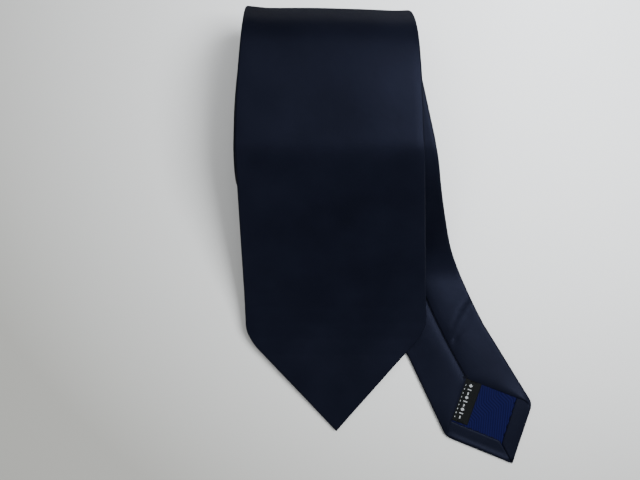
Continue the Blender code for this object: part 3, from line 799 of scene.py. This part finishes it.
def label_tack_paths(end):
    """Three stitches at the label's upper (-1) or lower (1) end."""
    along = 0.0006 if end < 0 else LABEL_LENGTH - 0.0006
    paths = []
    for i in range(3):
        across = LABEL_WIDTH / 2 + 0.0010 + np.linspace(-0.0015, 0.0015, 7) + (i - 1) * 0.0001
        arch = np.sqrt(np.clip(1 - np.linspace(-1, 1, 7) ** 2, 0, 1))
        level = label_level(along, across) - 0.00005 * arch
        s, v, h = on_label(along + (i - 1) * 0.00022, across, level)
        paths.append(np.column_stack((np.broadcast_to(s, 7), v, h)))
    return paths


# ------------------------------------------------------------------ materials


def new_material(name):
    made = bpy.data.materials.new(name)
    made.use_nodes = True
    return made, made.node_tree, made.node_tree.nodes["Principled BSDF"]


def add_node(tree, kind, inputs=(), **settings):
    """A node; each input is a value to set or another node's output to link."""
    node = tree.nodes.new("ShaderNode" + kind)
    for key, value in settings.items():
        setattr(node, key, value)
    for socket, value in dict(inputs).items():
        if isinstance(value, bpy.types.NodeSocket):
            tree.links.new(value, node.inputs[socket])
        else:
            node.inputs[socket].default_value = value
    return node


def weave_coordinates(tree, scale):
    uv = add_node(tree, "UVMap", uv_map="weave").outputs["UV"]
    return add_node(tree, "VectorMath", {0: uv, 1: scale}, operation="MULTIPLY").outputs[0]


def object_coordinates(tree):
    return add_node(tree, "TexCoord").outputs["Object"]


def noise(tree, vector, scale, detail=2.0):
    return add_node(tree, "TexNoise", {"Vector": vector, "Scale": scale, "Detail": detail}).outputs["Fac"]


def remap(tree, value, low, high, to_low, to_high):
    inputs = {"Value": value, 1: low, 2: high, 3: to_low, 4: to_high}
    return add_node(tree, "MapRange", inputs).outputs[0]


def maths(tree, operation, first, second):
    return add_node(tree, "Math", {0: first, 1: second}, operation=operation).outputs[0]


def ribs(tree, pitch, turn):
    """Heights from 0 to 1 of fine parallel ribs of this pitch, turned this far from lengthwise."""
    per_metre = math.tau / (20 * pitch)
    vector = weave_coordinates(tree, (per_metre, per_metre, 0))
    rotation = add_node(tree, "VectorRotate", {"Vector": vector, "Angle": turn}, rotation_type="Z_AXIS")
    inputs = {"Vector": rotation.outputs[0], "Scale": 1.0}
    return add_node(tree, "TexWave", inputs, bands_direction="X").outputs["Fac"]


def bumped(tree, shader, height, strength, distance=0.0001, **under):
    """Lets a height shape the shader's normal; under may hold the normal it adds to."""
    inputs = {"Strength": strength, "Distance": distance, "Height": height, **under}
    normal = add_node(tree, "Bump", inputs).outputs[0]
    tree.links.new(normal, shader.inputs["Normal"])
    return normal


def set_gloss(shader, roughness, specular):
    shader.inputs["Roughness"].default_value = roughness
    shader.inputs["Specular IOR Level"].default_value = specular


def tinted(tree, colour, value, low, high):
    """The colour, made darker or lighter by a value from 0 to 1."""
    shade = remap(tree, value, 0.3, 0.7, low, high)
    rgb = add_node(tree, "RGB")
    rgb.outputs[0].default_value = (*colour, 1)
    return add_node(tree, "VectorMath", {0: rgb.outputs[0], "Scale": shade}, operation="SCALE").outputs[0]


def satin(name, settings):
    """Navy silk satin: smooth, with a soft wide highlight and a very fine twill."""
    made, tree, shader = new_material(name)
    twill = ribs(tree, settings.twill_pitch, math.radians(45))
    slubs = noise(tree, weave_coordinates(tree, (2600, 500, 1)), 1.0, 3.0)
    cloudy = noise(tree, object_coordinates(tree), 38.0, 3.0)
    tree.links.new(tinted(tree, settings.satin_colour, cloudy, 0.82, 1.18), shader.inputs["Base Color"])
    facing = add_node(tree, "LayerWeight", {"Blend": 0.5}).outputs["Facing"]
    edge_roughness = remap(tree, facing, 0.35, 0.85, 0.0, 0.55)
    roughness = maths(tree, "ADD", remap(tree, slubs, 0.3, 0.7, 0.31, 0.39), edge_roughness)
    tree.links.new(roughness, shader.inputs["Roughness"])
    height = maths(tree, "ADD", twill, maths(tree, "MULTIPLY", slubs, 0.9))
    weave = bumped(tree, shader, height, settings.twill_strength, 0.00005)
    soft = noise(tree, object_coordinates(tree), 130.0, 2.0)
    bumped(tree, shader, soft, 0.25, 0.0004, Normal=weave)
    shader.inputs["Specular IOR Level"].default_value = 0.036
    shader.inputs["Specular Tint"].default_value = (0.52, 0.58, 1.0, 1)
    return made


def lining_silk(name, settings):
    """Royal blue lining with fine ribs along it."""
    made, tree, shader = new_material(name)
    rib = ribs(tree, settings.lining_rib_pitch, TAIL_HEADING)
    tree.links.new(tinted(tree, settings.lining_colour, rib, 0.72, 1.18), shader.inputs["Base Color"])
    bumped(tree, shader, rib, 0.25)
    set_gloss(shader, 0.46, 0.015)
    return made


def label_tape(name, settings):
    """Woven black tape."""
    made, tree, shader = new_material(name)
    rib = ribs(tree, settings.label_rib_pitch, math.radians(90))
    tree.links.new(tinted(tree, settings.label_colour, rib, 0.8, 1.2), shader.inputs["Base Color"])
    bumped(tree, shader, rib, 0.4)
    set_gloss(shader, 0.6, 0.03)
    return made


def spun(name, colour, roughness):
    """Plain yarn or felted wool."""
    made, tree, shader = new_material(name)
    fluff = noise(tree, object_coordinates(tree), 2200.0, 2.0)
    tree.links.new(tinted(tree, colour, fluff, 0.75, 1.25), shader.inputs["Base Color"])
    bumped(tree, shader, fluff, 0.4)
    set_gloss(shader, roughness, 0.03)
    return made


def table_top(name, settings):
    """A pale, plain surface with a painted pool of light: its colour is brightest to the right of the tie and
    grows darker with distance from there, as painted shade.
    """
    made, tree, shader = new_material(name)
    # The centre of the painted pool of light on the table.
    brightest = (ZERO_X + 0.105, FRONT_Y + 0.090, 0.0)
    ends = {0: object_coordinates(tree), 1: brightest}
    distance = add_node(tree, "VectorMath", ends, operation="DISTANCE").outputs["Value"]
    # Painted light and shade: the colour runs from the painted shade colour to the painted light colour as
    # the distance to that centre shrinks.
    share = remap(tree, distance, settings.painted_light_reach, 0.02, 0.0, 1.0)
    mix = add_node(tree, "Mix", {"Factor": share}, data_type="RGBA")
    mix.inputs[6].default_value = (*settings.table_painted_shade, 1)
    mix.inputs[7].default_value = (*settings.table_painted_light, 1)
    tree.links.new(mix.outputs[2], shader.inputs["Base Color"])
    grain = noise(tree, object_coordinates(tree), 900.0, 2.0)
    bumped(tree, shader, grain, 0.05, 0.0002)
    shader.inputs["Roughness"].default_value = 0.6
    return made


# ------------------------------------------------------------------ settings


class TieClothSettings(bpy.types.PropertyGroup):
    satin_colour: FloatVectorProperty(
        name="Satin colour", description="Colour of the shell cloth", default=(0.0034, 0.0040, 0.0078),
        subtype="COLOR", min=0, max=1)
    lining_colour: FloatVectorProperty(
        name="Lining colour", description="Colour of the lining in the two openings",
        default=(0.0026, 0.0030, 0.0240), subtype="COLOR", min=0, max=1)
    # The interlining's colour is painted shade: it is kept near black so that the wool showing in the gap
    # between the two flaps reads as the shade in the seam's groove.
    wool_painted_shade_colour: FloatVectorProperty(
        name="Interlining colour", description="Colour of the wool layer inside",
        default=(0.010, 0.011, 0.015), subtype="COLOR", min=0, max=1)
    thread_colour: FloatVectorProperty(
        name="Thread colour", description="Colour of the sewing thread", default=(0.0030, 0.0036, 0.0070),
        subtype="COLOR", min=0, max=1)
    label_colour: FloatVectorProperty(
        name="Label colour", description="Colour of the tape of the tail label",
        default=(0.0034, 0.0040, 0.0042), subtype="COLOR", min=0, max=1)
    mark_colour: FloatVectorProperty(
        name="Mark colour", description="Colour of the woven marks on the label", default=(0.22, 0.23, 0.24),
        subtype="COLOR", min=0, max=1)
    twill_pitch: FloatProperty(
        name="Twill pitch", description="Distance between the ribs of the satin's twill", default=0.0005,
        unit="LENGTH", min=0.0001, max=0.003)
    twill_strength: FloatProperty(
        name="Twill strength", description="How strongly the twill shows", default=0.30, subtype="FACTOR",
        min=0, max=1)
    lining_rib_pitch: FloatProperty(
        name="Lining rib pitch", description="Distance between the ribs of the lining", default=0.0011,
        unit="LENGTH", min=0.0001, max=0.005)
    label_rib_pitch: FloatProperty(
        name="Label rib pitch", description="Distance between the ribs of the label's tape", default=0.0004,
        unit="LENGTH", min=0.0001, max=0.003)
    thread_radius: FloatProperty(
        name="Thread radius", description="Radius of the sewing thread", default=0.00014, unit="LENGTH",
        min=0.00005, max=0.0005)


class TieStageSettings(bpy.types.PropertyGroup):
    table_size: FloatProperty(
        name="Table size", description="Side of the table top", default=3.0, unit="LENGTH", min=0.5, max=10)
    # The table's painted light: its colour runs from a painted shade colour far from its lit place to a
    # painted light colour at that place.
    table_painted_shade: FloatVectorProperty(
        name="Table, dark part", description="Colour of the table away from its brightest place",
        default=(0.265, 0.265, 0.247), subtype="COLOR", min=0, max=1)
    table_painted_light: FloatVectorProperty(
        name="Table, light part", description="Colour of the table at its brightest place",
        default=(0.92, 0.945, 0.965), subtype="COLOR", min=0, max=1)
    painted_light_reach: FloatProperty(
        name="Table reach", description="Distance over which the table turns darker", default=0.30,
        unit="LENGTH", min=0.05, max=2)
    camera_height: FloatProperty(
        name="Camera height", description="Height of the lens over the table", default=0.300, unit="LENGTH",
        min=0.1, max=2)
    focal_length: FloatProperty(
        name="Focal length", description="Focal length of the lens", default=37.5, subtype="DISTANCE_CAMERA",
        min=10, max=200)
    key_power: FloatProperty(
        name="Window light", description="Power of the soft light on the right", default=14.0, unit="POWER",
        min=0, max=200)
    fill_power: FloatProperty(
        name="Fill light", description="Power of the wide light overhead", default=14.0, unit="POWER",
        min=0, max=200)
    near_power: FloatProperty(
        name="Near light", description="Power of the weak light from the near left", default=0.8,
        unit="POWER", min=0, max=200)
    ambient: FloatProperty(
        name="Ambient light", description="Brightness of the surroundings", default=0.20, min=0, max=5)


# ------------------------------------------------------------------ operators

CAMERA_BEFORE_ROLL = 0.0396
TABLE_GAP = 0.0001
BODY_ROLL = "roll"
BODY_BLADE = "blade_end"
BODY_TAIL = "tail_end"
# The blade's half is one piece up to the middle of the run under its first turn.
SPLIT = ROUTE.blade_flex + RUN + math.pi * OUTER_RADIUS + RUN / 2
BLADE_JOIN = BLADE_PIECE_LENGTH
TAIL_JOIN = LENGTH - TAIL_PIECE_LENGTH
BLADE_SEAM_END = BLADE.vertex - 0.0005
TAIL_SEAM_END = TAIL.at(TAIL.vertex - 0.0005)
JOIN_GAP = 0.0001
WOOL_FROM_POINT = 0.004
SHELL_FROM_POINT = 0.0003
STITCH_FROM_FOLD = 0.001
TACK_FROM_SEAM_END = 0.0015
LABEL_THREAD_RADIUS = 0.00009


def bend_blade(obj):
    """Bakes the piece's placement into its mesh."""
    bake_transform(obj)


def bend_tail(obj):
    """Bakes the piece's placement into its mesh."""
    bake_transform(obj)


def declare(made):
    obj, flat, area = made
    return obj


class NECKTIE_OT_interlining(bpy.types.Operator):
    """Makes the wool layer inside both halves"""
    bl_idname = "necktie.interlining"
    bl_label = "Interlining"

    def execute(self, context):
        # The wool's dark colour is painted shade for where it shows between the flaps.
        wool = spun("wool interlining", context.scene.tie_cloth.wool_painted_shade_colour, 0.95)
        fold = ROUTE.neck_fold
        blade = interlining_piece("blade_wool", WOOL_FROM_POINT, SPLIT, wool)
        wound = interlining_piece("blade_wool_wound", SPLIT + JOIN_GAP, fold - JOIN_GAP, wool)
        tail = interlining_piece("tail_wool", fold + JOIN_GAP, LENGTH - WOOL_FROM_POINT, wool)
        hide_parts("blade_interlining_end")
        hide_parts("blade_interlining_rolled")
        declare(tail)
        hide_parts("tail_interlining_rolled", "tail_interlining_end")
        bend_blade(blade[0])
        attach(wound[0], BODY_ROLL)
        bend_tail(tail[0])
        return {"FINISHED"}


class NECKTIE_OT_shell(bpy.types.Operator):
    """Makes the satin shell cloth, folded round to the back, with its hems and its two piecing seams"""
    bl_idname = "necktie.shell"
    bl_label = "Shell cloth"

    def execute(self, context):
        cloth = satin("navy satin", context.scene.tie_cloth)
        for end, body, base in ((BLADE, BODY_BLADE, "blade"), (TAIL, BODY_TAIL, "tail")):
            for side, word in ((-1, "left"), (1, "right")):
                hem, _, _ = hem_piece(f"{base}_hem_{word}", end, side, cloth)
                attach(hem, body)
        blade = shell_piece("blade_cloth", SHELL_FROM_POINT, SPLIT, cloth)
        wound = shell_piece("blade_cloth_wound", SPLIT + JOIN_GAP, BLADE_JOIN - JOIN_GAP, cloth)
        neck = shell_piece("neck_cloth", BLADE_JOIN + JOIN_GAP, TAIL_JOIN - JOIN_GAP, cloth)
        tail = shell_piece("tail_cloth", TAIL_JOIN + JOIN_GAP, LENGTH - SHELL_FROM_POINT, cloth)
        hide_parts("blade_shell_end")
        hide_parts("blade_shell_rolled")
        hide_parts("neck_shell")
        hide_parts("tail_shell_rolled", "tail_shell_end")
        bend_blade(blade[0])
        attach(wound[0], BODY_ROLL)
        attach(neck[0], BODY_ROLL)
        bend_tail(tail[0])
        for name, s in (("blade_piecing_seam", BLADE_JOIN), ("tail_piecing_seam", TAIL_JOIN)):
            rows = np.linspace(s - JOIN_GAP, s + JOIN_GAP, 3)
            v, h = shell_section(rows)
            seam, _, _ = cloth_piece(name + "_thread", rows, v, h, SHELL_THICKNESS, cloth)
            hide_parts(name)
            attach(seam, BODY_ROLL)
        return {"FINISHED"}


class NECKTIE_OT_lining(bpy.types.Operator):
    """Makes the lining in the opening of both ends"""
    bl_idname = "necktie.lining"
    bl_label = "Lining"

    def execute(self, context):
        silk = lining_silk("royal blue lining", context.scene.tie_cloth)
        blade = lining_piece("blade_lining", BLADE, silk)
        tail = lining_piece("tail_lining", TAIL, silk)
        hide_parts("blade_tipping")
        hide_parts("tail_tipping")
        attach(blade[0], BODY_BLADE)
        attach(tail[0], BODY_TAIL)
        return {"FINISHED"}


class NECKTIE_OT_threads(bpy.types.Operator):
    """Makes the slip stitch of the centre seam, the bar tacks at its ends and the stitches along the hems"""
    bl_idname = "necktie.threads"
    bl_label = "Threads"

    def execute(self, context):
        cloth = context.scene.tie_cloth
        yarn = spun("navy thread", cloth.thread_colour, 0.6)
        radius = cloth.thread_radius
        fold = ROUTE.neck_fold
        blade = thread_piece("blade_stitch", [seam_path(BLADE_SEAM_END, SPLIT)], radius, yarn)
        wound_path = seam_path(SPLIT, fold - STITCH_FROM_FOLD)
        wound = thread_piece("blade_stitch_wound", [wound_path], radius, yarn)
        tail_path = seam_path(fold + STITCH_FROM_FOLD, TAIL_SEAM_END)
        tail = thread_piece("tail_stitch", [tail_path], radius, yarn)
        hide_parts("blade_slip_stitch_end")
        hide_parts("blade_slip_stitch_rolled")
        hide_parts("tail_slip_stitch_rolled", "tail_slip_stitch_end")
        bend_blade(blade)
        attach(wound, BODY_ROLL)
        bend_tail(tail)
        tacks = (
            ("blade", BLADE, BODY_BLADE, BLADE_SEAM_END + TACK_FROM_SEAM_END),
            ("tail", TAIL, BODY_TAIL, TAIL_SEAM_END - TACK_FROM_SEAM_END),
        )
        for base, end, body, middle in tacks:
            tack = thread_piece(f"{base}_bar_tack_stitches", bar_tack_paths(middle), radius, yarn)
            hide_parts(f"{base}_bar_tack")
            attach(tack, body)
            seam = thread_piece(f"{base}_hem_stitches", hem_seam_paths(end), radius * 0.8, yarn)
            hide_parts(f"{base}_tipping_seam")
            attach(seam, body)
        return {"FINISHED"}


class NECKTIE_OT_keeper_loop(bpy.types.Operator):
    """Makes the loop on the blade's back that holds the tail when the tie is worn, with its tacks"""
    bl_idname = "necktie.keeper_loop"
    bl_label = "Keeper loop"

    def execute(self, context):
        cloth = context.scene.tie_cloth
        middle = BLADE_SEAM_END + KEEPER_FROM_SEAM_END
        loop = keeper_piece("keeper_band", middle, satin("navy satin band", cloth))
        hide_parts("keeper_loop")
        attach(loop[0], BODY_BLADE)
        yarn = spun("navy tack thread", cloth.thread_colour, 0.6)
        for side, word in ((-1, "left"), (1, "right")):
            name = f"keeper_tack_{word}"
            paths = keeper_tack_paths(middle, side)
            tack = thread_piece(name + "_stitches", paths, cloth.thread_radius, yarn)
            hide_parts(name)
            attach(tack, BODY_BLADE)
        return {"FINISHED"}


class NECKTIE_OT_tail_label(bpy.types.Operator):
    """Makes the small woven label in the tail's opening, with plain marks, and its two tacks"""
    bl_idname = "necktie.tail_label"
    bl_label = "Tail label"

    def execute(self, context):
        cloth = context.scene.tie_cloth
        tape = label_sheet("label_tape", label_tape("label tape", cloth))
        marks = label_marks("label_marks", spun("label marks", cloth.mark_colour, 0.7))
        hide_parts("tail_label")
        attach(tape, BODY_TAIL)
        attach(marks, BODY_TAIL)
        yarn = spun("black thread", cloth.label_colour, 0.6)
        for end, word in ((-1, "upper"), (1, "lower")):
            name = f"label_tack_{word}"
            tack = thread_piece(name + "_stitches", label_tack_paths(end), LABEL_THREAD_RADIUS, yarn)
            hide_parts(name)
            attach(tack, BODY_TAIL)
        return {"FINISHED"}


class NECKTIE_OT_stage(bpy.types.Operator):
    """Makes the table top, the lights and the camera"""
    bl_idname = "necktie.stage"
    bl_label = "Stage"

    def execute(self, context):
        stage = context.scene.tie_stage
        bpy.ops.object.select_all(action="DESELECT")
        bpy.ops.mesh.primitive_plane_add(size=stage.table_size, location=(0, 0, -TABLE_GAP))
        table = context.object
        table.name = "table_top"
        table.data.materials.append(table_top("table top", stage))
        area_light("window light", (0.42, 0.10, 0.74), 0.46, stage.key_power, (0.97, 0.985, 1.0))
        area_light("fill light", (-0.10, 0.32, 1.20), 1.5, stage.fill_power, (1.0, 1.0, 1.0))
        area_light("near light", (-0.45, -0.75, 0.60), 0.5, stage.near_power, (1.0, 0.98, 0.97))
        world = bpy.data.worlds.new("surroundings")
        world.use_nodes = True
        background = world.node_tree.nodes["Background"]
        background.inputs["Color"].default_value = (0.96, 0.97, 1.0, 1)
        background.inputs["Strength"].default_value = stage.ambient
        context.scene.world = world
        lens = bpy.data.cameras.new("camera")
        lens.lens = stage.focal_length
        lens.sensor_width = 36
        lens.clip_start = 0.01
        camera = bpy.data.objects.new("camera", lens)
        camera.location = (ZERO_X, FRONT_Y - CAMERA_BEFORE_ROLL, stage.camera_height)
        context.scene.collection.objects.link(camera)
        context.scene.camera = camera
        return {"FINISHED"}


def area_light(name, offset, size, power, colour):
    """A soft light at this offset from the middle of the stage, turned towards it."""
    target = Vector((ZERO_X, 0, 0))
    location = target + Vector(offset)
    light = bpy.data.lights.new(name, "AREA")
    light.shape = "RECTANGLE"
    light.size = size
    light.size_y = size * 0.8
    light.energy = power
    light.color = colour
    made = bpy.data.objects.new(name, light)
    made.location = location
    made.rotation_euler = (location - target).to_track_quat("Z", "Y").to_euler()
    bpy.context.scene.collection.objects.link(made)


class NECKTIE_PT_panel(bpy.types.Panel):
    bl_idname = "NECKTIE_PT_panel"
    bl_label = "Rolled necktie"
    bl_space_type = "VIEW_3D"
    bl_region_type = "UI"
    bl_category = "Necktie"

    def draw(self, context):
        for group in (context.scene.tie_cloth, context.scene.tie_stage):
            box = self.layout.box()
            for key in group.__annotations__:
                box.prop(group, key)
        for operator in OPERATORS:
            self.layout.operator(operator.bl_idname)


OPERATORS = (
    NECKTIE_OT_interlining,
    NECKTIE_OT_shell,
    NECKTIE_OT_tail_label,
    NECKTIE_OT_lining,
    NECKTIE_OT_threads,
    NECKTIE_OT_keeper_loop,
    NECKTIE_OT_stage,
)
CLASSES = (TieClothSettings, TieStageSettings, *OPERATORS, NECKTIE_PT_panel)


def register():
    for made in CLASSES:
        bpy.utils.register_class(made)
    bpy.types.Scene.tie_cloth = PointerProperty(type=TieClothSettings)
    bpy.types.Scene.tie_stage = PointerProperty(type=TieStageSettings)


def unregister():
    del bpy.types.Scene.tie_stage
    del bpy.types.Scene.tie_cloth
    for made in reversed(CLASSES):
        bpy.utils.unregister_class(made)


def main():
    register()
    for operator in OPERATORS:
        group, name = operator.bl_idname.split(".")
        getattr(getattr(bpy.ops, group), name)()
    bpy.context.view_layer.update()


if __name__ == "__main__":
    main()
